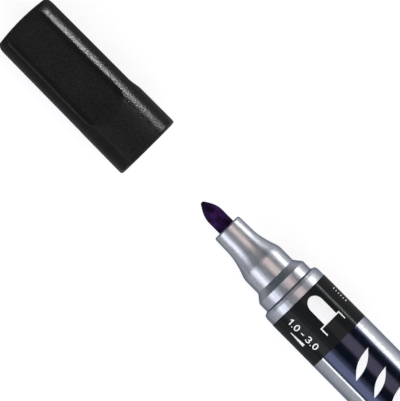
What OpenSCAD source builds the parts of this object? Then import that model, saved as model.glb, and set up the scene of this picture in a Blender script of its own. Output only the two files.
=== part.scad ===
// Felt-tip pen, lying along X with its cap pulled off ahead of the tip.
// The origin is on the axis, at the front end of the barrel. +X points to the writing tip.

/* [Barrel] */
// Outside diameter of the barrel
barrel_d = 16; // [13:0.1:20]
// Length from the cap stop to the back end of the pen
body_length = 100; // [80:0.5:130]
// Wall of the barrel tube
barrel_wall = 1.2; // [0.9:0.1:1.6]
// Ribs inside the barrel that hold the reservoir clear of the wall
rib_count = 6; // [3:1:10]
// Width of one rib
rib_width = 0.8; // [0.5:0.1:1.2]

/* [Nose] */
// Length of the collar that the cap stops against
collar_length = 3; // [2:0.1:4]
// How far the collar stands inside the barrel's surface
collar_step = 0.1; // [0.05:0.05:0.3]
// Length of the collar's tapered front
collar_taper_length = 1.1; // [0.5:0.1:1.6]
// Drop of the collar's tapered front
collar_taper_drop = 0.25; // [0.1:0.05:0.4]
// Radial step from the collar down to the seal land
land_step = 1.15; // [0.8:0.05:1.5]
// Length of the seal land
land_length = 2.4; // [1.5:0.1:4]
// Length of the cone ahead of the land
cone_length = 1.8; // [1:0.1:3]
// Radial drop of the cone
cone_drop = 1.4; // [1:0.1:1.6]
// Length of the nose cylinder
cylinder_length = 4.4; // [2:0.1:7]
// Length of the hollow-sided flare
flare_length = 6.5; // [4:0.1:9]
// How hollow the flare's side is, where 1 is a straight cone
flare_hollow = 1.65; // [1:0.05:2.5]
// Length of the slim front tube
front_length = 4.45; // [3:0.05:7]
// Wall of the front tube round the nib
front_wall = 1.54; // [1.2:0.01:1.8]
// Draft of the front tube, on the radius
front_draft = 0.11; // [0.05:0.01:0.2]
// Length of the spigot that presses into the barrel
spigot_length = 9; // [6:0.5:14]
// Wall of the spigot
spigot_wall = 1; // [0.8:0.05:1.2]
// Height of the snap bead round the spigot
bead_height = 0.15; // [0.1:0.05:0.25]
// Length of one slope of the snap bead
bead_slope = 1; // [0.5:0.1:1.5]
// Bevel round the front face
front_bevel = 0.2; // [0.1:0.05:0.3]
// Space left round the nib behind the front tube
chamber_gap = 1.4; // [0.8:0.1:1.6]

/* [Nib and reservoir] */
// Diameter of the nib
nib_d = 4.2; // [3:0.1:5.2]
// Length of nib that stands out of the nose
nib_exposed = 7.8; // [5:0.1:10]
// Length of the bullet point
point_length = 4.4; // [3:0.1:6]
// How slim the bullet point is, where 0.5 is an ellipse
point_slimness = 0.9; // [0.5:0.05:1.2]
// How far the nib reaches into the reservoir
nib_reach = 6; // [3:0.5:12]
// Bevel round the nib's back end
nib_bevel = 0.4; // [0.2:0.1:0.8]
// Thickness of the film round the reservoir
wrap_thickness = 0.13; // [0.1:0.01:0.2]
// Bare reservoir left at each end of the film
wrap_inset = 1; // [0.5:0.1:3]
// Width of one air groove beside the nib
vent_width = 0.6; // [0.4:0.1:0.8]
// Depth of one air groove beside the nib
vent_depth = 0.4; // [0.3:0.05:0.6]
// Number of air grooves beside the nib
vent_count = 4; // [2:1:6]

/* [Tail] */
// Length of plug that shows behind the barrel
plug_length = 3; // [2:0.1:5]
// Length of the plug's spigot inside the barrel
plug_spigot = 5; // [3:0.5:8]
// Rounding of the plug's back edge
plug_rounding = 0.8; // [0.3:0.1:1.5]
// Wall of the plug's spigot
plug_wall = 1.4; // [1.3:0.1:2]
// Radius of the dimple in the plug's back face
dimple_r = 2; // [1:0.1:4]
// Depth of the dimple
dimple_depth = 0.4; // [0.2:0.1:0.8]

/* [Cap] */
// Overall length of the cap
cap_length = 40; // [33:0.5:50]
// Distance that the cap is shown away from its stop
cap_pull = 44.1; // [30:0.1:60]
// Wall of the cap round the seal land
mouth_wall = 1.4; // [1:0.05:1.8]
// Draft of the cap's outside, on the radius
cap_draft = 0.25; // [0.1:0.05:0.4]
// Number of flats round the cap
flat_count = 3; // [3:1:4]
// Wall of the cap behind the middle of a flat
flat_wall = 1.2; // [0.9:0.05:1.4]
// Round length of the cap between its mouth and the run-out of a flat
flat_runout = 10.3; // [9:0.1:14]
// Turn of the cap on the pen, in degrees
cap_turn = 5.5; // [-30:0.5:30]
// Wall of the cap's closed end, at its middle
end_wall = 1.7; // [1.3:0.1:2.5]
// Height of the closed end's dome
dome_height = 0.5; // [0.2:0.1:0.8]
// Radial size of the closed end's edge rounding
end_round_r = 1.05; // [0.5:0.05:1.4]
// Axial size of the closed end's edge rounding
end_round_l = 2.3; // [1:0.1:3]
// Bevel round the cap's mouth
rim_bevel = 0.3; // [0.1:0.05:0.5]
// Length of the taper from the nose bore to the well, for each 1 mm of drop
well_slope = 2.5; // [1:0.1:3]
// Wall of the liner cup
liner_wall = 1.08; // [0.8:0.02:1.3]
// Thickness of the liner cup's floor
liner_floor = 1; // [0.6:0.1:1.5]
// Lead-in bevel at the liner's mouth
liner_lead = 0.3; // [0.1:0.05:0.5]
// Length of nose front that the liner closes over
liner_overlap = 3.8; // [2.5:0.1:4.2]

/* [Printed films] */
// Thickness of the printed films
film_thickness = 0.1; // [0.06:0.01:0.15]
// Length of the black band
band_length = 12.8; // [8:0.1:18]
// Width of the colour panel round the barrel, in degrees
panel_angle = 79.5; // [40:0.5:88]
// Bare barrel left between the panel and the tail plug
panel_margin = 19; // [5:0.5:30]

/* [Fits] */
// Radial clearance of pressed pieces
press_gap = 0.02; // [0.01:0.005:0.03]
// Radial clearance of the cap's two seals
seal_gap = 0.06; // [0.03:0.01:0.1]
// Radial clearance of pieces that slide in by hand
slip_gap = 0.1; // [0.05:0.01:0.15]
// Clear space between the cap and the parts of the nose that it does not seal on
cap_clearance = 0.4; // [0.3:0.05:0.6]
// Gap left at end faces
end_gap = 0.1; // [0.05:0.05:0.2]

/* [Hidden] */
$fn = 128;
eps = 0.01;
curve_steps = 14;

// Radii, worked out from the barrel inwards and from the nib outwards
barrel_r = barrel_d / 2;
bore_r = barrel_r - barrel_wall;
collar_r = barrel_r - collar_step;
land_r = collar_r - land_step;
cylinder_r = land_r - cone_drop;
nib_r = nib_d / 2;
nib_bore_r = nib_r + press_gap;
chamber_r = nib_r + chamber_gap;
front_r = nib_r + front_wall;
flare_r = front_r + front_draft;
spigot_r = bore_r - press_gap;
spigot_bore_r = spigot_r - spigot_wall;
wrap_r = spigot_bore_r - slip_gap;
reservoir_r = wrap_r - wrap_thickness;
film_r = barrel_r - film_thickness;

// Stations along X
barrel_x = 0;
stop_x = barrel_x + collar_length;
land_x = stop_x + land_length;
cone_x = land_x + cone_length;
cylinder_x = cone_x + cylinder_length;
flare_x = cylinder_x + flare_length;
front_x = flare_x + front_length;
tip_x = front_x + nib_exposed;
back_x = stop_x - body_length;
barrel_end_x = back_x + plug_length;
spigot_end_x = barrel_x - spigot_length;
bead_x = spigot_end_x + 2 * bead_slope;
shoulder_x = (barrel_x + stop_x) / 2;
plug_spigot_x = barrel_end_x + plug_spigot;
reservoir_x = shoulder_x - end_gap;
reservoir_end_x = plug_spigot_x + end_gap;
nib_end_x = reservoir_x - nib_reach;
band_end_x = barrel_x - band_length;
panel_end_x = barrel_end_x + panel_margin;

// Cap, measured from its mouth
mouth_bore_r = land_r + seal_gap;
mouth_r = mouth_bore_r + mouth_wall;
closed_r = mouth_r - cap_draft;
nose_bore_r = cylinder_r + cap_clearance;
liner_bore_r = flare_r + seal_gap;
liner_r = liner_bore_r + liner_wall;
well_r = liner_r + press_gap;
flat_r = well_r + flat_wall;
mouth_x = stop_x + cap_pull;
closed_x = mouth_x + cap_length;
land_depth = land_x - stop_x + cap_clearance;
cone_depth = cone_x - stop_x + cap_clearance;
nose_depth = cylinder_x - stop_x + cap_clearance;
well_depth = nose_depth + max(nose_bore_r - well_r, eps) * well_slope;
floor_depth = cap_length - end_wall;
liner_mouth_x = cap_pull + front_x - liner_overlap;
liner_back_x = mouth_x + floor_depth - end_gap;
liner_floor_x = liner_back_x - liner_floor;

// A piece turned about the pen's axis, from an outline of [radius, x] points
module turned(outline) {
    rotate([0, 90, 0])
        rotate_extrude()
            polygon(outline);
}

// A round bar or a hole along the pen's axis
module round_bar(radius, from_x, to_x) {
    translate([from_x, 0, 0])
        rotate([0, 90, 0])
            cylinder(r = radius, h = to_x - from_x);
}

// A tube along the pen's axis
module tube(outer_r, inner_r, from_x, to_x) {
    difference() {
        round_bar(outer_r, from_x, to_x);
        round_bar(inner_r, from_x - eps, to_x + eps);
    }
}

// The wedge of space over the top of the barrel that the colour panel fills
module panel_wedge(from_x, to_x) {
    reach = 2 * barrel_r;
    half_width = reach * tan(panel_angle / 2);
    translate([to_x, 0, 0])
        rotate([90, 0, -90])
            linear_extrude(to_x - from_x)
                polygon([[0, 0], [half_width, reach], [-half_width, reach]]);
}

// Outline of the flare, from the nose cylinder to the front tube
function flare_points() = [
    for (i = [0 : curve_steps])
        let (t = i / curve_steps)
            [flare_r + (cylinder_r - flare_r) * pow(1 - t, flare_hollow), cylinder_x + flare_length * t]
];

// Outline of the bullet point, from the shoulder to the tip
function point_points() = [
    for (i = [0 : curve_steps])
        let (t = i / curve_steps)
            [nib_r * pow(1 - t * t, point_slimness), tip_x - point_length * (1 - t)]
];

// Outline of the cap's closed end: edge rounding, then the dome
function closed_end_points() = [
    for (i = [0 : curve_steps])
        let (a = 90 * i / curve_steps)
            [closed_r - end_round_r * (1 - cos(a)),
             closed_x - dome_height - end_round_l * (1 - sin(a))],
    for (i = [1 : curve_steps])
        let (t = i / curve_steps)
            [(closed_r - end_round_r) * (1 - t), closed_x - dome_height * pow(1 - t, 2)]
];

// Cut that leaves one flat on the cap, with a sloping run-out at its mouth end
module flat_cut() {
    depth = mouth_r - flat_r;
    start_x = mouth_x + flat_runout;
    rotate([90, 0, 0])
        linear_extrude(4 * mouth_r, center = true)
            polygon([[start_x - depth, mouth_r + depth],
                     [start_x + depth, flat_r],
                     [closed_x + depth, flat_r],
                     [closed_x + depth, mouth_r + depth]]);
}

module cap_shell() {
    color("#191919")
        difference() {
            turned(concat(
                [[0, mouth_x], [mouth_r - rim_bevel, mouth_x], [mouth_r, mouth_x + rim_bevel]],
                closed_end_points()));
            for (i = [0 : flat_count - 1])
                rotate([360 * i / flat_count - cap_turn, 0, 0])
                    flat_cut();
            turned([
                [0, mouth_x - eps],
                [mouth_bore_r, mouth_x - eps],
                [mouth_bore_r, mouth_x + land_depth],
                [nose_bore_r, mouth_x + cone_depth],
                [nose_bore_r, mouth_x + nose_depth],
                [well_r, mouth_x + well_depth],
                [well_r, mouth_x + floor_depth],
                [0, mouth_x + floor_depth]]);
        }
}

module cap_liner() {
    color("#e6e4da")
        turned([
            [liner_bore_r + liner_lead, liner_mouth_x],
            [liner_r, liner_mouth_x],
            [liner_r, liner_back_x],
            [0, liner_back_x],
            [0, liner_floor_x],
            [liner_bore_r, liner_floor_x],
            [liner_bore_r, liner_mouth_x + liner_lead]]);
}

module nib() {
    color("#2a1538")
        turned(concat(
            [[0, nib_end_x], [nib_r - nib_bevel, nib_end_x], [nib_r, nib_end_x + nib_bevel]],
            point_points()));
}

// Ring with two slopes, which snaps the nose into the barrel
module snap_ring(root_r, base_r) {
    turned([
        [root_r, bead_x - bead_slope],
        [base_r, bead_x - bead_slope],
        [base_r + bead_height, bead_x],
        [base_r, bead_x + bead_slope],
        [root_r, bead_x + bead_slope]]);
}

module nose_section() {
    color("#b9bcc8")
        difference() {
            union() {
                turned(concat(
                    [[0, spigot_end_x], [spigot_r, spigot_end_x],
                     [spigot_r, barrel_x], [collar_r, barrel_x],
                     [collar_r, stop_x - collar_taper_length], [collar_r - collar_taper_drop, stop_x],
                     [land_r, stop_x], [land_r, land_x], [cylinder_r, cone_x]],
                    flare_points(),
                    [[front_r, front_x - front_bevel], [front_r - front_bevel, front_x], [0, front_x]]));
                snap_ring(spigot_r - spigot_wall / 2, spigot_r);
            }
            round_bar(nib_bore_r, land_x - eps, front_x + eps);
            round_bar(chamber_r, shoulder_x - eps, land_x);
            round_bar(spigot_bore_r, spigot_end_x - eps, shoulder_x);
            for (i = [0 : vent_count - 1])
                rotate([360 * (i + 0.5) / vent_count, 0, 0])
                    translate([land_x - eps, -vent_width / 2, 0])
                        cube([front_x - land_x + 2 * eps, vent_width, nib_bore_r + vent_depth]);
        }
}

module barrel() {
    color("#b9bcc8") {
        difference() {
            round_bar(barrel_r, barrel_end_x, barrel_x);
            round_bar(bore_r, barrel_end_x - eps, barrel_x + eps);
            snap_ring(bore_r - press_gap, bore_r);
            tube(2 * barrel_r, film_r, band_end_x, barrel_x + eps);
            intersection() {
                tube(2 * barrel_r, film_r, panel_end_x, band_end_x + eps);
                panel_wedge(panel_end_x, band_end_x + eps);
            }
        }
        difference() {
            for (i = [0 : rib_count - 1])
                rotate([360 * i / rib_count, 0, 0])
                    translate([plug_spigot_x + end_gap, -rib_width / 2, 0])
                        cube([spigot_end_x - plug_spigot_x - 2 * end_gap, rib_width,
                              bore_r + barrel_wall / 4]);
            round_bar(spigot_bore_r, barrel_end_x, barrel_x);
        }
    }
}

module label_band() {
    color("#1d1d1d")
        tube(barrel_r, film_r + press_gap, band_end_x, barrel_x);
}

module colour_panel() {
    color("#16142c")
        intersection() {
            tube(barrel_r, film_r + press_gap, panel_end_x, band_end_x);
            panel_wedge(panel_end_x, band_end_x);
        }
}

module ink_reservoir() {
    color("#4b2b63")
        difference() {
            round_bar(reservoir_r, reservoir_end_x, reservoir_x);
            round_bar(nib_r + press_gap, nib_end_x - press_gap, reservoir_x + eps);
        }
}

module reservoir_wrap() {
    color("#d9dbe2")
        tube(wrap_r, reservoir_r + press_gap, reservoir_end_x + wrap_inset, reservoir_x - wrap_inset);
}

module tail_plug() {
    inner_r = spigot_r - plug_wall;
    color("#16142c")
        turned(concat(
            [[0, back_x + dimple_depth], [dimple_r, back_x + dimple_depth], [dimple_r, back_x]],
            [for (i = [0 : curve_steps])
                let (a = 90 * i / curve_steps)
                    [barrel_r - plug_rounding * (1 - sin(a)), back_x + plug_rounding * (1 - cos(a))]],
            [[barrel_r, barrel_end_x], [spigot_r, barrel_end_x], [spigot_r, plug_spigot_x],
             [inner_r, plug_spigot_x], [inner_r, barrel_end_x], [0, barrel_end_x]]));
}

cap_shell();
cap_liner();
nib();
nose_section();
barrel();
label_band();
colour_panel();
ink_reservoir();
reservoir_wrap();
tail_plug();
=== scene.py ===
"""Looks of a felt-tip pen with its cap pulled off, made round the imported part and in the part's own frame."""
import math

import bmesh
import bpy
from mathutils import Matrix, Vector, noise


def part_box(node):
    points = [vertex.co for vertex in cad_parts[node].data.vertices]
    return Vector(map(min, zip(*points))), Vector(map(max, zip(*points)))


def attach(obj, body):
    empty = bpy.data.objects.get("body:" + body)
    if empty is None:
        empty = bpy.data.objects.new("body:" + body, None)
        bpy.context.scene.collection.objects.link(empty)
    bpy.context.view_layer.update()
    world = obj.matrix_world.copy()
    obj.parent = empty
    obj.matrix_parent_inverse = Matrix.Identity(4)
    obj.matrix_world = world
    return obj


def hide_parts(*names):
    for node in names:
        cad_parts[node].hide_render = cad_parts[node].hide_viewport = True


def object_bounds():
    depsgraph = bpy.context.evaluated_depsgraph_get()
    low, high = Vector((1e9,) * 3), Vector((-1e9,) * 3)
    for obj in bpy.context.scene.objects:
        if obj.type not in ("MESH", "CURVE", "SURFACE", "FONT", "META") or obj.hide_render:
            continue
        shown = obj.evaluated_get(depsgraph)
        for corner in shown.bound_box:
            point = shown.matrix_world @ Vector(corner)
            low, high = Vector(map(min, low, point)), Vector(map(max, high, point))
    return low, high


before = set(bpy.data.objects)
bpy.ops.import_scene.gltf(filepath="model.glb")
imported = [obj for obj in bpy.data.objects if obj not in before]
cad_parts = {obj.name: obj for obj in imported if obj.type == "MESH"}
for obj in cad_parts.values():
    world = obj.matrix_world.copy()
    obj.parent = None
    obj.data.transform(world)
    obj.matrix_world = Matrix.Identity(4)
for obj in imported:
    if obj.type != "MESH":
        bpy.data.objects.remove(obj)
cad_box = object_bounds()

MM = 0.001
TURN = 2 * math.pi

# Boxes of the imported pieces. The pen's axis is X, +X points to the writing tip and +Z is up.
barrel_low, barrel_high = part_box("barrel")
band_low, band_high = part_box("label_band")
panel_low, panel_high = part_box("colour_panel")
nose_low, nose_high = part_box("nose_section")
nib_low, nib_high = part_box("nib")
plug_low, plug_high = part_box("tail_plug")
cap_low, cap_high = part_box("cap_shell")
liner_low, liner_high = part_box("cap_liner")
barrel_r = barrel_high.z

# Barrel and printed films
barrel_wall = 1.2 * MM
film_thickness = 0.1 * MM
press_gap = 0.02 * MM
ink_thickness = 0.02 * MM
film_r = barrel_r - film_thickness
bore_r = barrel_r - barrel_wall
panel_half = math.asin(panel_high.y / barrel_r)

# Nose, from the barrel to its front face
collar_length = 3.0 * MM
collar_taper = 1.1 * MM
collar_drop = 0.25 * MM
collar_lean = 0.4 * MM
foot_reach = 0.03 * MM
land_step = 1.15 * MM
land_length = 2.4 * MM
cone_length = 1.8 * MM
cone_drop = 1.4 * MM
cylinder_length = 4.4 * MM
flare_length = 6.5 * MM
flare_hollow = 1.65
flare_ease = 0.3 * MM
front_wall = 1.54 * MM
front_draft = 0.11 * MM
spigot_wall = 1.0 * MM
chamber_gap = 1.4 * MM
vent_count = 4
vent_width = 0.6 * MM
vent_depth = 0.4 * MM
nib_r = nib_high.z
nib_bore_r = nib_r + press_gap
front_r = nib_r + front_wall
flare_r = front_r + front_draft
collar_r = nose_high.z
land_r = collar_r - land_step
cylinder_r = land_r - cone_drop
spigot_r = bore_r - press_gap
stop_x = barrel_high.x + collar_length
land_x = stop_x + land_length
cone_x = land_x + cone_length
cylinder_x = cone_x + cylinder_length
flare_x = cylinder_x + flare_length
front_x = nose_high.x

# Nib
point_length = 4.4 * MM
point_slimness = 0.9
tip_blunting = 0.4
blunting_power = 8
nib_bevel = 0.4 * MM

# Cap, from its mouth to its closed end
seal_gap = 0.06 * MM
cap_clearance = 0.4 * MM
cap_draft = 0.25 * MM
cap_turn = math.radians(5.5)
flat_count = 3
flat_wall = 1.2 * MM
sharp_edge = 0.02 * MM
soft_edge = 0.42 * MM
flat_runout = 10.3 * MM
runout_hollow = 1.6 * MM
runout_edge = 0.62 * MM
end_wall = 1.7 * MM
dome_height = 0.5 * MM
end_round_r = 1.05 * MM
end_round_l = 2.3 * MM
well_slope = 2.5
liner_wall = 1.08 * MM
liner_floor = 1.0 * MM
mouth_x = cap_low.x
closed_x = cap_high.x
mouth_r = cap_high.z
closed_r = mouth_r - cap_draft
mouth_bore_r = land_r + seal_gap
nose_bore_r = cylinder_r + cap_clearance
liner_r = liner_high.z
well_r = liner_r + press_gap
flat_r = well_r + flat_wall
flat_x = mouth_x + flat_runout

# Tail plug
plug_length = 3.0 * MM
plug_rounding = 0.8 * MM
plug_wall = 1.4 * MM
dimple_r = 2.0 * MM
dimple_depth = 0.4 * MM


# Meshes

AROUND = [TURN * i / 192 for i in range(192)]
AROUND_CAP = [TURN * i / 360 for i in range(360)]
# A radius below this is on the axis
ON_AXIS = 0.001 * MM
# Distance from a fillet to the point that keeps the side next to it flat
HOLD = 0.03 * MM


def mesh_piece(name, verts, faces, sharp=math.radians(40)):
    """Object of a mesh with its faces turned outwards and shaded smooth up to the sharp angle."""
    mesh = bpy.data.meshes.new(name)
    mesh.from_pydata(verts, [], faces)
    work = bmesh.new()
    work.from_mesh(mesh)
    bmesh.ops.recalc_face_normals(work, faces=work.faces)
    work.to_mesh(mesh)
    work.free()
    mesh.polygons.foreach_set("use_smooth", [True] * len(mesh.polygons))
    mesh.set_sharp_from_angle(angle=sharp)
    piece = bpy.data.objects.new(name, mesh)
    bpy.context.scene.collection.objects.link(piece)
    return piece


def rounded(corners, steps=5):
    """Outline through corners of (x, radius, fillet).

    A fillet is an arc, with a point close by on each side so that the sides stay flat.
    """
    points = []
    last = len(corners) - 1
    for i, (x, radius, fillet) in enumerate(corners):
        here = Vector((x, radius))
        if fillet == 0 or i in (0, last):
            points.append(here)
            continue
        back = Vector(corners[i - 1][:2]) - here
        ahead = Vector(corners[i + 1][:2]) - here
        half = back.angle(ahead) / 2
        reach = fillet / math.tan(half)
        back.normalize()
        ahead.normalize()
        centre = here + (back + ahead).normalized() * fillet / math.sin(half)
        first = (here + back * reach - centre).normalized()
        final = (here + ahead * reach - centre).normalized()
        points.append(here + back * (reach + HOLD))
        points += [centre + first.slerp(final, k / steps) * fillet for k in range(steps + 1)]
        points.append(here + ahead * (reach + HOLD))
    return points


def turned(name, outline, shape=None, angles=AROUND):
    """Mesh of an outline of (x, radius) points turned about the axis.

    An outline off the axis closes on itself. Angles run from +Z towards +Y.
    shape(x, radius, angle) gives the radius of a piece that isn't quite round.
    """
    verts = []
    rings = []
    for x, radius in outline:
        first = len(verts)
        if radius < ON_AXIS:
            verts.append((x, 0, 0))
            rings.append([first])
            continue
        for angle in angles:
            r = shape(x, radius, angle) if shape else radius
            verts.append((x, r * math.sin(angle), r * math.cos(angle)))
        rings.append(range(first, len(verts)))
    pairs = list(zip(rings, rings[1:]))
    if len(rings[0]) > 1:
        pairs.append((rings[-1], rings[0]))
    faces = []
    for ring, after in pairs:
        for i in range(len(angles)):
            j = (i + 1) % len(angles)
            corners = [ring[i % len(ring)], ring[j % len(ring)], after[j % len(after)], after[i % len(after)]]
            faces.append(list(dict.fromkeys(corners)))
    return mesh_piece(name, verts, faces)


def smooth_min(a, b, ease):
    """Lesser of two sizes, eased where they are within that distance of each other."""
    blend = max(ease - abs(a - b), 0) / ease
    return min(a, b) - blend * blend * ease / 4


def wrapped(name, ribbons, low_r, high_r, across=8):
    """Thin mesh laid round the barrel.

    A ribbon is a list of (x, arc, half width) points on the unrolled surface.
    """
    verts = []
    faces = []
    for ribbon in ribbons:
        line = [Vector(point[:2]) for point in ribbon]
        steps = [(b - a).normalized() for a, b in zip(line, line[1:])]
        row = across + 1
        first = len(verts)
        for i, (x, arc, half) in enumerate(ribbon):
            before = steps[max(i - 1, 0)].orthogonal()
            after = steps[min(i, len(steps) - 1)].orthogonal()
            side = (before + after).normalized()
            side *= half / side.dot(after)
            for r in (high_r, low_r):
                for k in range(row):
                    place = line[i] + side * (2 * k / across - 1)
                    angle = place.y / barrel_r
                    verts.append((place.x, r * math.sin(angle), r * math.cos(angle)))
        for i in range(len(ribbon)):
            top = first + 2 * row * i
            loop = list(range(top, top + row)) + list(range(top + 2 * row - 1, top + row - 1, -1))
            if i in (0, len(ribbon) - 1):
                faces += [[loop[k], loop[k + 1], loop[-k - 2], loop[-k - 1]] for k in range(across)]
            if i < len(ribbon) - 1:
                ahead = [v + 2 * row for v in loop]
                faces += [[loop[k - 1], loop[k], ahead[k], ahead[k - 1]] for k in range(len(loop))]
    return mesh_piece(name, verts, faces)


# Pieces

def cap_radius(x, radius, angle):
    """Radius of the cap, where three flats with sloping run-outs cut its round side.

    One edge of each flat is rounder than the other.
    """
    pitch = TURN / flat_count
    off = (angle - cap_turn + pitch / 2) % pitch - pitch / 2
    ramp = mouth_r - (x - flat_x)
    flat = -smooth_min(-flat_r, -ramp, runout_hollow)
    crest = min(max(ramp - flat_r, 0) / (mouth_r - flat_r), 1)
    edge = sharp_edge + (soft_edge - sharp_edge) * (off / pitch + 0.5)
    return smooth_min(radius, flat / math.cos(off), edge + (runout_edge - edge) * crest)


def cap_moulding():
    """Cap: domed end, side with three flats, rim, and bores that seal on the nose and hold the liner."""
    end_steps = 12
    flat_steps = 10
    runout_steps = 40
    rim = 0.3 * MM
    lip = 0.6 * MM
    side_x = closed_x - dome_height - end_round_l
    outline = []
    for i in range(end_steps):
        t = i / end_steps
        outline.append((closed_x - dome_height * t * t, (closed_r - end_round_r) * t))
    for i in range(end_steps + 1):
        a = math.pi / 2 * (1 - i / end_steps)
        outline.append((side_x + end_round_l * math.sin(a), closed_r - end_round_r * (1 - math.cos(a))))
    runout = 2 * (mouth_r - flat_r)
    runout_x = flat_x + runout
    runout_span = 1.2 * runout
    stations = [side_x + (runout_x - side_x) * i / flat_steps for i in range(1, flat_steps)]
    stations += [runout_x - runout_span * i / runout_steps for i in range(runout_steps + 1)]
    for x in stations:
        outline.append((x, mouth_r - cap_draft * (x - mouth_x) / (side_x - mouth_x)))
    land_depth = land_length + cap_clearance
    cone_depth = land_depth + cone_length
    nose_depth = cone_depth + cylinder_length
    floor_x = closed_x - end_wall
    well_x = mouth_x + nose_depth + (nose_bore_r - well_r) * well_slope
    outline += rounded([
        (stations[-1], outline[-1][1], 0),
        (mouth_x, mouth_r, lip),
        (mouth_x, mouth_bore_r, rim / 2),
        (mouth_x + land_depth, mouth_bore_r, rim),
        (mouth_x + cone_depth, nose_bore_r, rim),
        (mouth_x + nose_depth, nose_bore_r, rim),
        (well_x, well_r, rim),
        (floor_x, well_r, rim),
        (floor_x, 0, 0)])[1:]
    return turned("cap_moulding", outline, cap_radius, AROUND_CAP)


def liner_cup():
    """Soft cup inside the cap that closes round the front of the nose."""
    edge = 0.25 * MM
    bore = liner_r - liner_wall
    return turned("liner_cup", rounded([
        (liner_high.x, 0, 0),
        (liner_high.x, liner_r, edge),
        (liner_low.x, liner_r, edge),
        (liner_low.x, bore, edge),
        (liner_high.x - liner_floor, bore, edge),
        (liner_high.x - liner_floor, 0, 0)]))


def nib_radius(x, radius, angle):
    """Radius of the nib, with the fine lengthwise furrows of its fibres."""
    # Fibres are 0.02 mm thick, drawn eight times as coarse so that they show
    fibre = 0.16 * MM
    fibre_length = 14 * fibre
    furrow = 0.022 * MM
    place = Vector((x / fibre_length, nib_r * math.sin(angle) / fibre, nib_r * math.cos(angle) / fibre))
    return radius * (1 - furrow / nib_r * (0.5 + 0.5 * noise.noise(place)))


def felt_nib():
    """Bullet nib of felt, with a rounded tip and furrowed sides."""
    point_steps = 36
    shaft_steps = 6
    outline = []
    for i in range(point_steps + 1):
        t = math.sin(math.pi / 2 * (1 - i / point_steps))
        slimness = point_slimness - tip_blunting * t ** blunting_power
        outline.append((nib_high.x - point_length * (1 - t), nib_r * (1 - t * t) ** slimness))
    shoulder_x = outline[-1][0]
    for i in range(1, shaft_steps + 1):
        outline.append((shoulder_x + (front_x - shoulder_x) * i / shaft_steps, nib_r))
    outline += [(nib_low.x + nib_bevel, nib_r), (nib_low.x, nib_r - nib_bevel), (nib_low.x, 0)]
    return turned("felt_nib", outline, nib_radius)


def nose_radius(x, radius, angle):
    """Radius of the nose, whose nib bore has air grooves along it."""
    if abs(radius - nib_bore_r) > ON_AXIS:
        return radius
    pitch = TURN / vent_count
    off = angle % pitch - pitch / 2
    groove_r = nib_bore_r + vent_depth
    in_groove = abs(off) < math.asin(vent_width / 2 / groove_r)
    return groove_r / math.cos(off) if in_groove else radius


def nose_moulding():
    """Nose: collar, seal land, cone, cylinder, hollow flare and front tube, with the bores behind the nib."""
    soft = 0.12 * MM
    fine = 0.06 * MM
    flare_steps = 48
    lead_steps = 12
    shoulder_x = (barrel_high.x + stop_x) / 2
    chamber_r = nib_r + chamber_gap
    spigot_bore_r = spigot_r - spigot_wall
    outline = rounded([
        (nose_low.x, spigot_bore_r, 0),
        (nose_low.x, spigot_r, fine),
        (barrel_high.x, spigot_r, fine),
        (barrel_high.x, collar_r, fine),
        (stop_x - collar_taper, collar_r, 2 * soft),
        (stop_x + foot_reach - collar_lean, collar_r - collar_drop, fine),
        (stop_x + foot_reach, land_r, fine / 2),
        (land_x, land_r, 3 * soft),
        (cone_x, cylinder_r, 2 * soft),
        (cylinder_x - flare_length * lead_steps / flare_steps, cylinder_r, 0)])
    # The flare's curve starts on the cylinder, so that the two meet in a soft shoulder
    for i in range(1 - lead_steps, flare_steps + 1):
        t = i / flare_steps
        radius = flare_r + (cylinder_r - flare_r) * (1 - t) ** flare_hollow
        outline.append((cylinder_x + flare_length * t, smooth_min(cylinder_r, radius, flare_ease)))
    outline += rounded([
        (flare_x, flare_r, 0),
        (front_x, front_r, 4 * soft),
        (front_x, nib_bore_r, 0)])[1:]
    outline += [
        (land_x, nib_bore_r),
        (land_x, chamber_r),
        (shoulder_x, chamber_r),
        (shoulder_x, spigot_bore_r)]
    return turned("nose_moulding", outline, nose_radius)


def barrel_radius(x, radius, angle):
    """Radius of the barrel, sunk where the colour panel lies on it."""
    off = (angle + math.pi) % TURN - math.pi
    under_panel = panel_low.x <= x <= panel_high.x and abs(off) <= panel_half
    return film_r if under_panel and radius > film_r else radius


def barrel_tube():
    """Barrel, with the shallow seats that keep both films level with its surface."""
    edge = 0.1 * MM
    wall = 0.01 * MM
    outline = rounded([
        (barrel_low.x, bore_r, 0),
        (barrel_low.x, barrel_r, edge),
        (panel_low.x - wall, barrel_r, 0),
        (panel_low.x, barrel_r, 0),
        (panel_high.x, barrel_r, 0),
        (panel_high.x + wall, film_r, 0),
        (barrel_high.x, film_r, 0),
        (barrel_high.x, bore_r, 0)])
    sliver = wall / barrel_r
    seams = [s * (panel_half + d) % TURN for s in (-1, 1) for d in (0, sliver)]
    return turned("barrel_tube", outline, barrel_radius, sorted(AROUND + seams))


def band_sleeve():
    """Black film round the front of the barrel."""
    low_r = film_r + press_gap
    edge = 0.03 * MM
    return turned("band_sleeve", rounded([
        (band_low.x, low_r, 0),
        (band_low.x, barrel_r, edge),
        (band_high.x, barrel_r, edge),
        (band_high.x, low_r, 0)]))


def panel_label():
    """Navy film along the top of the barrel."""
    steps = 16
    half = panel_half * barrel_r
    length = panel_high.x - panel_low.x
    path = [(panel_low.x + length * i / steps, 0, half) for i in range(steps + 1)]
    return wrapped("panel_label", [path], film_r + press_gap, barrel_r, across=48)


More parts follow.
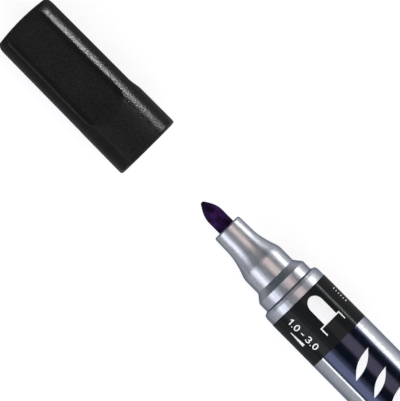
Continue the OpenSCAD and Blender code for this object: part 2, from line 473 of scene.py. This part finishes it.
def plug_moulding():
    """Plug that closes the back of the barrel, with a gate dimple in its end."""
    edge = 0.12 * MM
    inner_r = spigot_r - plug_wall
    shown_x = plug_low.x + plug_length
    return turned("plug_moulding", rounded([
        (plug_low.x + dimple_depth, 0, 0),
        (plug_low.x + dimple_depth, dimple_r, 2 * edge),
        (plug_low.x, dimple_r, edge),
        (plug_low.x, barrel_r, plug_rounding),
        (shown_x, barrel_r, edge),
        (shown_x, spigot_r, 0),
        (plug_high.x, spigot_r, edge),
        (plug_high.x, inner_r, edge),
        (shown_x, inner_r, edge),
        (shown_x, 0, 0)]))


# Print on the unrolled barrel: distances back from the band's front edge, and arcs from the top line

def divided(points, pace=0.4 * MM):
    """Line through points of (x, arc), with more points between them to follow the barrel's curve."""
    line = [Vector(points[0])]
    for point in points[1:]:
        run = Vector(point) - line[-1]
        count = math.ceil(run.length / pace)
        start = line[-1]
        line += [start + run * i / count for i in range(1, count + 1)]
    return line


def stroke(points, half):
    """Ribbon of constant width with round ends, through points of (x, arc)."""
    line = divided(points)
    lead = (line[0] - line[1]).normalized() * half
    trail = (line[-1] - line[-2]).normalized() * half
    ends = (0.98, 0.85, 0.6, 0.3)
    ribbon = [(*(line[0] + lead * t), half * math.sqrt(1 - t * t)) for t in ends]
    ribbon += [(*point, half) for point in line]
    ribbon += [(*(line[-1] + trail * t), half * math.sqrt(1 - t * t)) for t in reversed(ends)]
    return ribbon


def bow(centre_x, centre_y, wide, tall, start, stop, steps=14):
    """Points on an ellipse between two angles in degrees, for one bow of a numeral."""
    points = []
    for i in range(steps + 1):
        a = math.radians(start + (stop - start) * i / steps)
        points.append((centre_x + wide * math.cos(a), centre_y + tall * math.sin(a)))
    return points


# Each sign as lines in a box one unit tall, with the room it takes along the line
SIGNS = {
    "0": (0.74, [bow(0.3, 0.5, 0.28, 0.48, 90, 450, 24)]),
    "1": (0.6, [[(0.08, 0.76), (0.34, 0.98), (0.34, 0.02)]]),
    "3": (0.74, [bow(0.28, 0.75, 0.26, 0.23, 150, -90), bow(0.28, 0.27, 0.3, 0.25, 90, -150)]),
    ".": (0.36, [[(0.1, 0.03), (0.14, 0.03)]]),
    "-": (0.62, [[(0.08, 0.42), (0.42, 0.42)]]),
    " ": (0.28, []),
}


def band_print():
    """White signs on the band: a nib in its holder, a width range, a swelling stroke and a row of ticks."""
    front = band_high.x
    degree = math.radians(1) * barrel_r
    ribbons = []

    nib_arc = -15.3 * degree
    nib_half = 1.88 * MM
    nib_tip_x = front - 1.26 * MM
    holder_x = front - 7.95 * MM
    nose_run = 2.3 * MM
    nose_end_x = nib_tip_x - nose_run
    nose_steps = 14
    shaft_steps = 4
    least_width = 0.02
    bullet = []
    for i in range(nose_steps + 1):
        t = math.cos(math.pi / 2 * i / nose_steps)
        width = max(math.sqrt(1 - t * t), least_width)
        bullet.append((nib_tip_x - nose_run * (1 - t), nib_arc, nib_half * width))
    for i in range(1, shaft_steps + 1):
        bullet.append((nose_end_x + (holder_x - nose_end_x) * i / shaft_steps, nib_arc, nib_half))
    ribbons.append(bullet)
    line_half = 0.14 * MM
    near_arc = -34 * degree
    far_arc = 6.6 * degree
    arm_x = holder_x - 2.0 * MM
    holder = [(arm_x, near_arc), (holder_x, near_arc), (holder_x, far_arc), (arm_x, far_arc)]
    ribbons.append([(*point, line_half) for point in divided(holder)])

    tall = 1.66 * MM
    spacing = 1.15
    sign_half = 0.13 * MM
    base_arc = 41 * degree
    along = front - 1.75 * MM
    for sign in "1.0 - 3.0":
        room, lines = SIGNS[sign]
        for points in lines:
            placed = [(along - px * tall, base_arc - py * tall) for px, py in points]
            ribbons.append(stroke(placed, sign_half))
        along -= room * spacing * tall

    sample_arc = 51.5 * degree
    sample_x = front - 3.9 * MM
    sample_length = 4.0 * MM
    sample_steps = 20
    thin_half = 0.12 * MM
    thick_half = 0.48 * MM
    swell = []
    for i in range(sample_steps + 1):
        t = i / sample_steps
        swell.append((sample_x - sample_length * t, sample_arc, thin_half + (thick_half - thin_half) * t))
    ribbons.append(swell)

    tick_count = 6
    tick_x = front - 3.6 * MM
    tick_pace = 0.75 * MM
    tick_arc = -64.5 * degree
    tick_half = 0.1 * MM
    end_tick = 0.9 * MM
    short_tick = 0.55 * MM
    for i in range(tick_count):
        x = tick_x - tick_pace * i
        length = end_tick if i in (0, tick_count - 1) else short_tick
        tick = [(x, tick_arc), (x, tick_arc - length)]
        ribbons.append([(*point, tick_half) for point in divided(tick)])
    return wrapped("band_print", ribbons, barrel_r - ink_thickness, barrel_r + ink_thickness)


def panel_print():
    """White leaning leaves along the panel, each smaller than the last, and a white line beside each edge,
    partly print and partly a painted highlight.
    """
    count = 11
    tall = 7.2 * MM
    lean = 3.4 * MM
    half = 0.95 * MM
    pace = 5.6 * MM
    shrink = 0.94
    least_width = 0.03
    steps = 24
    ribbons = []
    x = panel_high.x - 7.0 * MM
    for i in range(count):
        size = shrink ** i
        leaf = []
        for k in range(steps + 1):
            t = k / steps
            width = half * size * max(math.sin(math.pi * t), least_width)
            leaf.append((x + lean * size * (0.5 - t), tall * size * (t - 0.5), width))
        ribbons.append(leaf)
        x -= pace * size
    # The lines beside the edges are partly print and partly a painted highlight on the silver
    edge_half = 0.28 * MM
    edge_pace = 4 * MM
    edge_arc = panel_half * barrel_r + edge_half
    for arc in (-edge_arc, edge_arc):
        edge = [(panel_high.x, arc), (panel_low.x, arc)]
        ribbons.append([(*point, edge_half) for point in divided(edge, edge_pace)])
    return wrapped("panel_print", ribbons, barrel_r - ink_thickness, barrel_r + ink_thickness)


# Materials

def linear(hex_colour):
    """Linear colour of an sRGB hex value."""
    parts = [int(hex_colour[i:i + 2], 16) / 255 for i in (1, 3, 5)]
    return [p / 12.92 if p <= 0.04045 else ((p + 0.055) / 1.055) ** 2.4 for p in parts] + [1]


def node(tree, kind, inputs=None, **settings):
    """Adds a node with its settings. An input is a value, or the output of another node to link from."""
    made = tree.nodes.new(kind)
    for name, value in settings.items():
        setattr(made, name, value)
    for name, value in (inputs or {}).items():
        if isinstance(value, bpy.types.NodeSocket):
            tree.links.new(value, made.inputs[name])
        else:
            made.inputs[name].default_value = value
    return made


def start_material(name):
    """New material with its nodes cleared, and the coordinates of its patterns, in metres on the piece."""
    material = bpy.data.materials.new(name)
    material.use_nodes = True
    tree = material.node_tree
    tree.nodes.clear()
    return material, tree, node(tree, "ShaderNodeTexCoord").outputs["Object"]


def end_material(tree, shader):
    """Sends a shader to the surface of the material."""
    node(tree, "ShaderNodeOutputMaterial", {"Surface": shader.outputs[0]})


def silver_flake_polypropylene():
    """Polypropylene with aluminium flake, moulded in a polished tool.

    It gives the eye satin metal with flow streaks, darker at the edges: partly flop of the flakes, partly
    painted shade.
    """
    material, tree, place = start_material("silver_flake_polypropylene_moulded")
    streak = 0.45 * MM
    streak_length = 7.5 * MM
    flow = node(tree, "ShaderNodeMapping", {
        "Vector": place, "Scale": (1 / streak_length, 1 / streak, 1 / streak)})
    streaks = node(tree, "ShaderNodeTexNoise", {"Vector": flow.outputs[0], "Scale": 1, "Detail": 3})
    # Flakes are 0.05 mm across, drawn six times as coarse so that they show
    flake = 0.3 * MM
    flakes = node(tree, "ShaderNodeTexNoise", {"Vector": place, "Scale": 1 / flake, "Detail": 2})
    mixed = node(tree, "ShaderNodeMath", {
        0: streaks.outputs["Fac"], 1: flakes.outputs["Fac"]}, operation="ADD")
    shade = node(tree, "ShaderNodeMapRange", {"Value": mixed.outputs[0], "From Min": 0.7, "From Max": 1.3})
    face = node(tree, "ShaderNodeMix", {
        0: shade.outputs[0], 6: linear("#8d9098"), 7: linear("#acadb1")}, data_type="RGBA")
    # The colour darkens towards the outline: partly flop of the flakes, partly painted shade standing for dark
    # reflections at the edges
    turn = node(tree, "ShaderNodeLayerWeight", {"Blend": 0.5})
    flop_and_edge_shade = node(tree, "ShaderNodeMapRange", {
        "Value": turn.outputs["Facing"], "From Min": 0.36, "From Max": 0.9})
    colour = node(tree, "ShaderNodeMix", {
        0: flop_and_edge_shade.outputs[0], 6: face.outputs[2], 7: linear("#868b95")}, data_type="RGBA")
    gloss = node(tree, "ShaderNodeMapRange", {
        "Value": flakes.outputs["Fac"], "From Min": 0.3, "From Max": 0.7, "To Min": 0.31, "To Max": 0.41})
    relief = node(tree, "ShaderNodeBump", {
        "Height": flakes.outputs["Fac"], "Distance": 0.008 * MM, "Strength": 0.6})
    # The grey-blue edge tint also darkens the reflections near the outline, as painted shade
    end_material(tree, node(tree, "ShaderNodeBsdfPrincipled", {
        "Base Color": colour.outputs[2], "Metallic": 0.88, "Roughness": gloss.outputs[0],
        "Specular Tint": linear("#6f7c8f"), "Normal": relief.outputs[0]}))
    return material


def black_polypropylene():
    """Black polypropylene, moulded in a spark-eroded tool.

    It gives the eye a dull near black, burnished on its corners by handling.
    """
    material, tree, place = start_material("black_polypropylene_spark_eroded")
    blotch = node(tree, "ShaderNodeTexNoise", {"Vector": place, "Scale": 1 / (5 * MM), "Detail": 3})
    # The grain is 0.1 mm, drawn four times as coarse so that it shows
    grain = 0.4 * MM
    pits = node(tree, "ShaderNodeTexNoise", {"Vector": place, "Scale": 1 / grain, "Detail": 1})
    speck = node(tree, "ShaderNodeMapRange", {
        "Value": pits.outputs["Fac"], "From Min": 0.36, "From Max": 0.64})
    mixed = node(tree, "ShaderNodeMath", {0: blotch.outputs["Fac"], 1: speck.outputs[0]}, operation="ADD")
    shade = node(tree, "ShaderNodeMapRange", {"Value": mixed.outputs[0], "From Min": 0.3, "From Max": 1.7})
    colour = node(tree, "ShaderNodeMix", {
        0: shade.outputs[0], 6: linear("#0b0b0b"), 7: linear("#1b1b1b")}, data_type="RGBA")
    # Pits scatter the light, except on the corners between the flats, where handling has worn them smooth
    worn_from = math.radians(29)
    worn_to = math.radians(35)
    unworn_roughness = 0.62
    polish = node(tree, "ShaderNodeMapRange", {"Value": speck.outputs[0], "To Min": 0.34, "To Max": 0.09})
    axes = node(tree, "ShaderNodeSeparateXYZ", {"Vector": place})
    angle = node(tree, "ShaderNodeMath", {0: axes.outputs["Y"], 1: axes.outputs["Z"]}, operation="ARCTAN2")
    from_flat = node(tree, "ShaderNodeMath", {0: angle.outputs[0], 1: cap_turn}, operation="SUBTRACT")
    half_pitch = TURN / flat_count / 2
    off = node(tree, "ShaderNodeMath", {0: from_flat.outputs[0], 1: half_pitch}, operation="PINGPONG")
    corner = node(tree, "ShaderNodeMapRange", {
        "Value": off.outputs[0], "From Min": worn_from, "From Max": worn_to})
    end_x = closed_x - dome_height
    side = node(tree, "ShaderNodeMapRange", {
        "Value": axes.outputs["X"], "From Min": end_x, "From Max": end_x - end_round_l})
    worn = node(tree, "ShaderNodeMath", {0: corner.outputs[0], 1: side.outputs[0]}, operation="MULTIPLY")
    gloss = node(tree, "ShaderNodeMix", {0: worn.outputs[0], 2: unworn_roughness, 3: polish.outputs[0]})
    relief = node(tree, "ShaderNodeBump", {
        "Height": pits.outputs["Fac"], "Distance": 0.05 * MM, "Strength": 1.0})
    end_material(tree, node(tree, "ShaderNodeBsdfPrincipled", {
        "Base Color": colour.outputs[2], "Roughness": gloss.outputs[0], "IOR": 1.49,
        "Specular IOR Level": 0.08, "Normal": relief.outputs[0]}))
    return material


def violet_felt():
    """Acrylic fibre bonded and ground to a bullet, soaked with violet ink.

    It gives the eye a dull dark violet with lengthwise fibres, darkest at the tip.
    """
    material, tree, place = start_material("acrylic_felt_ground_inked")
    # Fibres are 0.02 mm thick, drawn seven times as coarse so that they show
    fibre = 0.14 * MM
    fibre_length = 2 * MM
    along = node(tree, "ShaderNodeMapping", {
        "Vector": place, "Scale": (1 / fibre_length, 1 / fibre, 1 / fibre)})
    fibres = node(tree, "ShaderNodeTexNoise", {"Vector": along.outputs[0], "Scale": 1, "Detail": 3})
    soak = node(tree, "ShaderNodeTexNoise", {"Vector": place, "Scale": 1 / (1.6 * MM), "Detail": 2})
    depth = node(tree, "ShaderNodeMath", {
        0: fibres.outputs["Fac"], 1: soak.outputs["Fac"]}, operation="MULTIPLY")
    shade = node(tree, "ShaderNodeMapRange", {"Value": depth.outputs[0], "From Min": 0.17, "From Max": 0.36})
    # The colour is darker towards the tip
    tip_reach = 2.6 * MM
    axes = node(tree, "ShaderNodeSeparateXYZ", {"Vector": place})
    behind_tip = node(tree, "ShaderNodeMapRange", {
        "Value": axes.outputs["X"], "From Min": nib_high.x, "From Max": nib_high.x - tip_reach})
    tone = node(tree, "ShaderNodeMath", {
        0: shade.outputs[0], 1: behind_tip.outputs[0]}, operation="MULTIPLY")
    colour = node(tree, "ShaderNodeMix", {
        0: tone.outputs[0], 6: linear("#0a0213"), 7: linear("#35184f")}, data_type="RGBA")
    relief = node(tree, "ShaderNodeBump", {
        "Height": fibres.outputs["Fac"], "Distance": 0.04 * MM, "Strength": 0.7})
    end_material(tree, node(tree, "ShaderNodeBsdfPrincipled", {
        "Base Color": colour.outputs[2], "Roughness": 0.85, "IOR": 1.49, "Specular IOR Level": 0.06,
        "Sheen Weight": 0.06, "Sheen Roughness": 0.4, "Sheen Tint": linear("#8a6cab"),
        "Normal": relief.outputs[0]}))
    return material


def black_ink_film():
    """Polypropylene film printed with matt black ink: even near black, with a thin skin of gloss."""
    material, tree, place = start_material("polypropylene_film_printed_black")
    mottle = node(tree, "ShaderNodeTexNoise", {"Vector": place, "Scale": 1 / (0.7 * MM), "Detail": 3})
    colour = node(tree, "ShaderNodeMix", {
        0: mottle.outputs["Fac"], 6: linear("#141617"), 7: linear("#1a1c1d")}, data_type="RGBA")
    end_material(tree, node(tree, "ShaderNodeBsdfPrincipled", {
        "Base Color": colour.outputs[2], "Roughness": 0.7, "IOR": 1.49, "Specular IOR Level": 0.0,
        "Coat Weight": 0.12, "Coat Roughness": 0.1, "Coat IOR": 1.49}))
    return material


def navy_ink_film():
    """Polypropylene film printed navy and varnished: almost black, with clear reflections."""
    material, tree, place = start_material("polypropylene_film_varnished_navy")
    mottle = node(tree, "ShaderNodeTexNoise", {"Vector": place, "Scale": 1 / (1.2 * MM), "Detail": 3})
    colour = node(tree, "ShaderNodeMix", {
        0: mottle.outputs["Fac"], 6: linear("#000001"), 7: linear("#020207")}, data_type="RGBA")
    # Orange peel of the varnish
    ripple = node(tree, "ShaderNodeTexNoise", {"Vector": place, "Scale": 1 / (0.9 * MM), "Detail": 1})
    relief = node(tree, "ShaderNodeBump", {
        "Height": ripple.outputs["Fac"], "Distance": 0.004 * MM, "Strength": 0.5})
    gloss = node(tree, "ShaderNodeMapRange", {"Value": mottle.outputs["Fac"], "To Min": 0.14, "To Max": 0.24})
    end_material(tree, node(tree, "ShaderNodeBsdfPrincipled", {
        "Base Color": colour.outputs[2], "Roughness": gloss.outputs[0], "IOR": 1.52,
        "Specular IOR Level": 0.62, "Specular Tint": linear("#bccaff"), "Normal": relief.outputs[0]}))
    return material


def white_ink():
    """White screen-printing ink: chalky white, a little thinner where the mesh left less of it."""
    material, tree, place = start_material("screen_ink_white_printed")
    # The screen's mesh is 0.1 mm, drawn coarser so that it shows
    weave = node(tree, "ShaderNodeTexNoise", {"Vector": place, "Scale": 1 / (0.35 * MM), "Detail": 2})
    colour = node(tree, "ShaderNodeMix", {
        0: weave.outputs["Fac"], 6: linear("#d8dada"), 7: linear("#e8eaea")}, data_type="RGBA")
    gloss = node(tree, "ShaderNodeMapRange", {"Value": weave.outputs["Fac"], "To Min": 0.45, "To Max": 0.65})
    end_material(tree, node(tree, "ShaderNodeBsdfPrincipled", {
        "Base Color": colour.outputs[2], "Roughness": gloss.outputs[0],
        "IOR": 1.5, "Specular IOR Level": 0.3}))
    return material


def natural_polyethylene():
    """Undyed low-density polyethylene, moulded: milky and waxy, letting a little light through."""
    material, tree, place = start_material("polyethylene_natural_moulded")
    cloud = node(tree, "ShaderNodeTexNoise", {"Vector": place, "Scale": 1 / (3 * MM), "Detail": 3})
    colour = node(tree, "ShaderNodeMix", {
        0: cloud.outputs["Fac"], 6: linear("#d6d3c6"), 7: linear("#e6e4da")}, data_type="RGBA")
    gloss = node(tree, "ShaderNodeMapRange", {"Value": cloud.outputs["Fac"], "To Min": 0.38, "To Max": 0.5})
    end_material(tree, node(tree, "ShaderNodeBsdfPrincipled", {
        "Base Color": colour.outputs[2], "Roughness": gloss.outputs[0], "IOR": 1.51,
        "Subsurface Weight": 0.25, "Subsurface Radius": (1, 0.9, 0.7), "Subsurface Scale": 0.8 * MM}))
    return material


def navy_polypropylene():
    """Navy polypropylene, moulded: deep blue-black with a satin gloss and faint flow marks from the gate."""
    material, tree, place = start_material("polypropylene_navy_moulded")
    flow = node(tree, "ShaderNodeTexNoise", {
        "Vector": place, "Scale": 1 / (2.5 * MM), "Detail": 3, "Distortion": 1})
    colour = node(tree, "ShaderNodeMix", {
        0: flow.outputs["Fac"], 6: linear("#0c0b1c"), 7: linear("#16142c")}, data_type="RGBA")
    # The grain is 0.1 mm, drawn three times as coarse so that it shows
    grain = node(tree, "ShaderNodeTexNoise", {"Vector": place, "Scale": 1 / (0.3 * MM), "Detail": 2})
    relief = node(tree, "ShaderNodeBump", {
        "Height": grain.outputs["Fac"], "Distance": 0.008 * MM, "Strength": 0.5})
    gloss = node(tree, "ShaderNodeMapRange", {"Value": flow.outputs["Fac"], "To Min": 0.25, "To Max": 0.38})
    end_material(tree, node(tree, "ShaderNodeBsdfPrincipled", {
        "Base Color": colour.outputs[2], "Roughness": gloss.outputs[0],
        "IOR": 1.49, "Normal": relief.outputs[0]}))
    return material


def inked_fibre_rod():
    """Polyester fibre bonded into a rod and soaked with ink: soft violet with lengthwise strands."""
    material, tree, place = start_material("polyester_fibre_bonded_inked")
    # Fibres are 0.02 mm thick, drawn as coarser strands so that they show
    strand = 0.25 * MM
    strand_length = 5 * MM
    along = node(tree, "ShaderNodeMapping", {
        "Vector": place, "Scale": (1 / strand_length, 1 / strand, 1 / strand)})
    strands = node(tree, "ShaderNodeTexNoise", {"Vector": along.outputs[0], "Scale": 1, "Detail": 3})
    colour = node(tree, "ShaderNodeMix", {
        0: strands.outputs["Fac"], 6: linear("#351d49"), 7: linear("#62407e")}, data_type="RGBA")
    relief = node(tree, "ShaderNodeBump", {
        "Height": strands.outputs["Fac"], "Distance": 0.08 * MM, "Strength": 0.8})
    end_material(tree, node(tree, "ShaderNodeBsdfPrincipled", {
        "Base Color": colour.outputs[2], "Roughness": 0.9, "Normal": relief.outputs[0]}))
    return material


def clear_wrap():
    """Polypropylene film, cast: pale and glossy, with slight draw lines."""
    material, tree, place = start_material("polypropylene_film_cast_clear")
    line = 0.5 * MM
    line_length = 50 * MM
    draw = node(tree, "ShaderNodeMapping", {
        "Vector": place, "Scale": (1 / line_length, 1 / line, 1 / line)})
    lines = node(tree, "ShaderNodeTexNoise", {"Vector": draw.outputs[0], "Scale": 1, "Detail": 2})
    colour = node(tree, "ShaderNodeMix", {
        0: lines.outputs["Fac"], 6: linear("#cdd0d8"), 7: linear("#e2e4ea")}, data_type="RGBA")
    gloss = node(tree, "ShaderNodeMapRange", {"Value": lines.outputs["Fac"], "To Min": 0.12, "To Max": 0.24})
    end_material(tree, node(tree, "ShaderNodeBsdfPrincipled", {
        "Base Color": colour.outputs[2], "Roughness": gloss.outputs[0], "IOR": 1.49, "Alpha": 0.6}))
    return material


# The pieces on their bodies

silver = silver_flake_polypropylene()
white = white_ink()

for piece, body, stands_for, slot, material in (
        (cap_moulding(), "cap", "cap_shell", "cap_plastic", black_polypropylene()),
        (liner_cup(), "cap", "cap_liner", "liner_plastic", natural_polyethylene()),
        (felt_nib(), "pen", "nib", "nib_felt", violet_felt()),
        (nose_moulding(), "pen", "nose_section", "silver_plastic", silver),
        (barrel_tube(), "pen", "barrel", "silver_plastic", silver),
        (band_sleeve(), "pen", "label_band", "band_film", black_ink_film()),
        (panel_label(), "pen", "colour_panel", "panel_film", navy_ink_film()),
        (plug_moulding(), "pen", "tail_plug", "plug_plastic", navy_polypropylene())):
    piece.data.materials.append(material)
    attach(piece, body)
    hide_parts(stands_for)

for piece in (band_print(), panel_print()):
    piece.data.materials.append(white)
    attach(piece, "pen")

for name, material in (("ink_reservoir", inked_fibre_rod()), ("reservoir_wrap", clear_wrap())):
    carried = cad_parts[name]
    carried.data.materials.clear()
    carried.data.materials.append(material)


# Floor, lamps and camera

def add_floor():
    """White card under the pen, which shows white to the eye and still takes the pen's shadow.

    In reflections it is dark past the nib and dimmer towards +Y, so that dark pieces keep their dark edges.
    """
    reach = 3.0
    floor_z = cad_box[0].z
    bright_to_x = 30 * MM
    dark_from_x = 50 * MM
    dim_from_y = 5 * MM
    dimmed = 0.7
    card_glow = 0.76
    corners = [(-reach, -reach), (reach, -reach), (reach, reach), (-reach, reach)]
    floor = mesh_piece("floor", [(x, y, floor_z) for x, y in corners], [(0, 1, 2, 3)])
    material, tree, place = start_material("card_matt_white")
    fleck = node(tree, "ShaderNodeTexNoise", {"Vector": place, "Scale": 1 / (4 * MM), "Detail": 2})
    colour = node(tree, "ShaderNodeMix", {
        0: fleck.outputs["Fac"], 6: linear("#949494"), 7: linear("#989898")}, data_type="RGBA")
    path = node(tree, "ShaderNodeLightPath")
    axes = node(tree, "ShaderNodeSeparateXYZ", {"Vector": place})
    beside = node(tree, "ShaderNodeMapRange", {
        "Value": axes.outputs["X"], "From Min": dark_from_x, "From Max": bright_to_x})
    near = node(tree, "ShaderNodeMapRange", {
        "Value": axes.outputs["Y"], "From Min": -dim_from_y, "From Max": dim_from_y,
        "To Min": 1.0, "To Max": dimmed})
    lit = node(tree, "ShaderNodeMath", {0: beside.outputs[0], 1: near.outputs[0]}, operation="MULTIPLY")
    mirrored = node(tree, "ShaderNodeMath", {
        0: path.outputs["Is Glossy Ray"], 1: lit.outputs[0]}, operation="MULTIPLY")
    seen = node(tree, "ShaderNodeMath", {
        0: path.outputs["Is Camera Ray"], 1: mirrored.outputs[0]}, operation="ADD")
    seen = node(tree, "ShaderNodeMath", {
        0: seen.outputs[0], 1: path.outputs["Is Transmission Ray"]}, operation="ADD")
    glow = node(tree, "ShaderNodeMath", {0: seen.outputs[0], 1: card_glow}, operation="MULTIPLY")
    end_material(tree, node(tree, "ShaderNodeBsdfPrincipled", {
        "Base Color": colour.outputs[2], "Roughness": 0.9, "Specular IOR Level": 0.0,
        "Emission Color": linear("#ffffff"), "Emission Strength": glow.outputs[0]}))
    floor.data.materials.append(material)


def add_softbox(name, lean, spread, distance, from_x, to_x, radiance, colour, slant=0, only=None):
    """Rectangular lamp along the pen.

    Lean is its angle from straight up towards +Y, slant the one towards +X and spread its width, in degrees.
    A lamp for one piece alone shows only in that piece's highlights.
    """
    data = bpy.data.lights.new(name, "AREA")
    data.shape = "RECTANGLE"
    data.size = to_x - from_x
    data.size_y = 2 * distance * math.tan(math.radians(spread / 2))
    # A lamp's radiance is its watts divided by four times its area
    data.energy = 4 * radiance * data.size * data.size_y
    data.color = linear(colour)[:3]
    lamp = bpy.data.objects.new(name, data)
    axes = Matrix.Rotation(math.radians(-lean), 4, "X") @ Matrix.Rotation(math.radians(slant), 4, "Y")
    aim = Matrix.Translation(((from_x + to_x) / 2, 0, 0))
    lamp.matrix_world = aim @ axes @ Matrix.Translation((0, 0, distance))
    lamp.visible_camera = False
    bpy.context.scene.collection.objects.link(lamp)
    if only:
        lit = bpy.data.collections.new("lit_by_" + name)
        lit.objects.link(only)
        lamp.light_linking.receiver_collection = lit
        lamp.visible_diffuse = False


def add_world():
    """Dim pale blue studio round the table."""
    world = bpy.data.worlds.new("studio")
    world.use_nodes = True
    background = world.node_tree.nodes["Background"]
    background.inputs["Color"].default_value = linear("#a8d8f4")
    background.inputs["Strength"].default_value = 0.14
    bpy.context.scene.world = world


def add_camera():
    """Long lens straight above, with the pen running from the picture's upper left to its lower right."""
    photo_height = 401
    pixels_per_mm = 4.53
    pen_angle = math.radians(45.3)
    distance = 1.8
    past_tip = 0.52 * MM
    centre_x = nib_high.x + past_tip
    data = bpy.data.cameras.new("camera")
    data.lens = data.sensor_width * distance / (photo_height / pixels_per_mm * MM)
    camera = bpy.data.objects.new("camera", data)
    sine = math.sin(pen_angle)
    cosine = math.cos(pen_angle)
    axes = Matrix(((-cosine, sine, 0), (-sine, -cosine, 0), (0, 0, 1)))
    camera.matrix_world = Matrix.Translation((centre_x, 0, distance)) @ axes.to_4x4()
    bpy.context.scene.collection.objects.link(camera)
    bpy.context.scene.camera = camera


add_floor()
add_world()
# Name, lean, spread, distance, the X where it starts and ends, radiance and colour
add_softbox("overhead", -22, 36, 0.6, -0.09, 0.3, 1.9, "#ffe3d8")
add_softbox("side", 57, 29, 0.6, -0.35, 0.35, 2.4, "#f5f5fc")
add_softbox("side_spill", 56, 54, 0.7, -0.35, 0.35, 0.7, "#f5f5fc")
add_softbox("rim", -82, 14, 0.45, -0.12, 0.25, 4.2, "#ffffff")
add_softbox("rim_core", -83, 2.5, 0.45, -0.12, 0.06, 26, "#ffffff")
cap_piece = bpy.data.objects["cap_moulding"]
add_softbox("rim_on_cap", -78, 17, 0.2, 0.064, 0.104, 50, "#ffffff", only=cap_piece)
add_softbox("end_on_cap", 0, 50, 0.4, 0.0, 0.12, 4.0, "#ffffff", slant=80, only=cap_piece)
add_softbox("tail_fill", 0, 50, 0.8, -0.35, 0.35, 3.0, "#ffffff", slant=-52)
add_softbox("tip_fill", 0, 50, 0.8, -0.2, 0.2, 0.22, "#ffffff", slant=36)
add_camera()
bpy.context.scene.view_settings.view_transform = "Standard"
